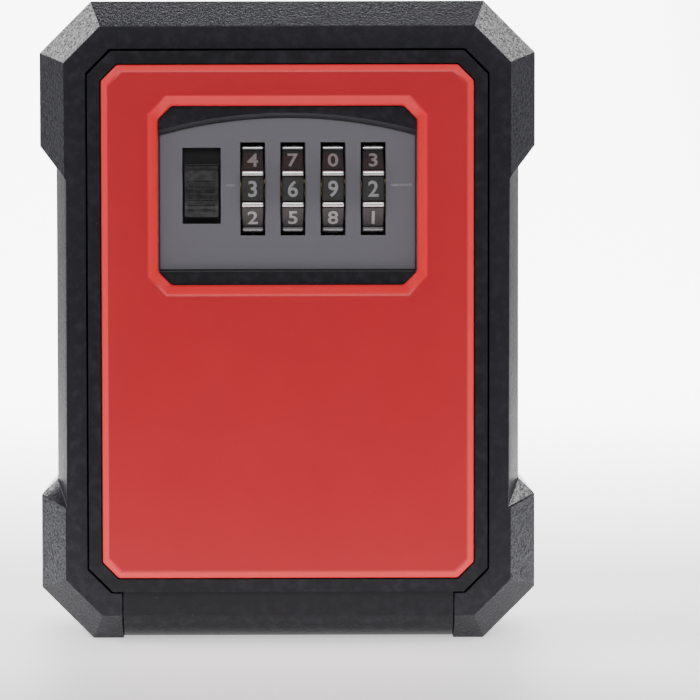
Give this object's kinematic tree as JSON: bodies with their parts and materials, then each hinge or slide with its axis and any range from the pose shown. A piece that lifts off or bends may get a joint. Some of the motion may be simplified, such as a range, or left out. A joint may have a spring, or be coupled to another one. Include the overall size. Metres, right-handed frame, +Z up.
{
  "type": "key lock box",
  "caption": "Key safe with a bevelled black case, a red drop-down door, number wheels and a sprung thumb slide.",
  "frame": {"origin": "middle of the four wall-screw holes, on the flat back plane", "axes": "+X to the right as seen from the front, +Y into the wall, +Z up"},
  "size_m": [0.093, 0.04, 0.12],
  "materials": {
    "black_casting": "satin",
    "zinc": "satin",
    "plated_steel": "satin",
    "spring_steel": "polished",
    "sheet_steel": "satin",
    "seal_rubber": "matte",
    "red_paint": "satin",
    "grey_plate": "satin",
    "wheel_metal": "satin",
    "sleeve_brass": "satin",
    "black_plastic": "matte"
  },
  "bodies": {
    "case": {"outer_case": "black_casting", "inner_case": "zinc", "case_screws": "plated_steel", "hinge_pin": "spring_steel", "striker": "sheet_steel", "striker_screws": "plated_steel", "door_seal": "seal_rubber", "key_hooks": "sheet_steel", "hook_rivets": "plated_steel"},
    "door": {"door_frame": "black_casting", "face_plate": "red_paint", "dial_plate": "grey_plate", "lock_housing": "zinc", "housing_screws": "plated_steel", "inner_cover": "sheet_steel", "cover_screws": "plated_steel", "detent_comb": "spring_steel", "spindle_spring": "spring_steel", "latch_springs": "spring_steel"},
    "dial_1": {"number_wheel_1": "wheel_metal"},
    "dial_2": {"number_wheel_2": "wheel_metal"},
    "dial_3": {"number_wheel_3": "wheel_metal"},
    "dial_4": {"number_wheel_4": "wheel_metal"},
    "reset": {"spindle": "spring_steel", "retaining_clips": "spring_steel", "reset_lever": "sheet_steel"},
    "sleeve_1": {"code_sleeve_1": "sleeve_brass"},
    "sleeve_2": {"code_sleeve_2": "sleeve_brass"},
    "sleeve_3": {"code_sleeve_3": "sleeve_brass"},
    "sleeve_4": {"code_sleeve_4": "sleeve_brass"},
    "latch": {"latch_plate": "sheet_steel", "thumb_slide": "black_plastic", "slide_rivets": "plated_steel"}
  },
  "joints": [
    {"name": "door_hinge", "type": "hinge", "parent": "case", "child": "door", "pos_m": [0, -0.0315, -0.0534], "axis": [1, 0, 0], "range_deg": [0, 88]},
    {"name": "dial_turn_1", "type": "hinge", "parent": "door", "child": "dial_1", "pos_m": [-0.0065, -0.0288, 0.0248], "axis": [1, 0, 0], "continuous": true},
    {"name": "dial_turn_2", "type": "hinge", "parent": "door", "child": "dial_2", "pos_m": [0.001, -0.0288, 0.0248], "axis": [1, 0, 0], "continuous": true},
    {"name": "dial_turn_3", "type": "hinge", "parent": "door", "child": "dial_3", "pos_m": [0.0085, -0.0288, 0.0248], "axis": [1, 0, 0], "continuous": true},
    {"name": "dial_turn_4", "type": "hinge", "parent": "door", "child": "dial_4", "pos_m": [0.016, -0.0288, 0.0248], "axis": [1, 0, 0], "continuous": true},
    {"name": "reset_slide", "type": "slide", "parent": "door", "child": "reset", "axis": [1, 0, 0], "range_m": [0, 0.0014], "stiffness_N_per_m": 300, "springref_m": -0.002, "deforming": ["spindle_spring"]},
    {"name": "sleeve_turn_1", "type": "hinge", "parent": "reset", "child": "sleeve_1", "pos_m": [-0.00415, -0.0288, 0.0248], "axis": [1, 0, 0], "continuous": true},
    {"name": "sleeve_turn_2", "type": "hinge", "parent": "reset", "child": "sleeve_2", "pos_m": [0.00335, -0.0288, 0.0248], "axis": [1, 0, 0], "continuous": true},
    {"name": "sleeve_turn_3", "type": "hinge", "parent": "reset", "child": "sleeve_3", "pos_m": [0.01085, -0.0288, 0.0248], "axis": [1, 0, 0], "continuous": true},
    {"name": "sleeve_turn_4", "type": "hinge", "parent": "reset", "child": "sleeve_4", "pos_m": [0.01835, -0.0288, 0.0248], "axis": [1, 0, 0], "continuous": true},
    {"name": "latch_slide", "type": "slide", "parent": "door", "child": "latch", "axis": [0, 0, 1], "range_m": [0, 0.0033], "stiffness_N_per_m": 250, "springref_m": -0.004, "deforming": ["latch_springs"]}
  ],
  "couplings": [
    {"joint": "sleeve_turn_1", "follows": "dial_turn_1", "ratio": 1},
    {"joint": "sleeve_turn_2", "follows": "dial_turn_2", "ratio": 1},
    {"joint": "sleeve_turn_3", "follows": "dial_turn_3", "ratio": 1},
    {"joint": "sleeve_turn_4", "follows": "dial_turn_4", "ratio": 1}
  ]
}
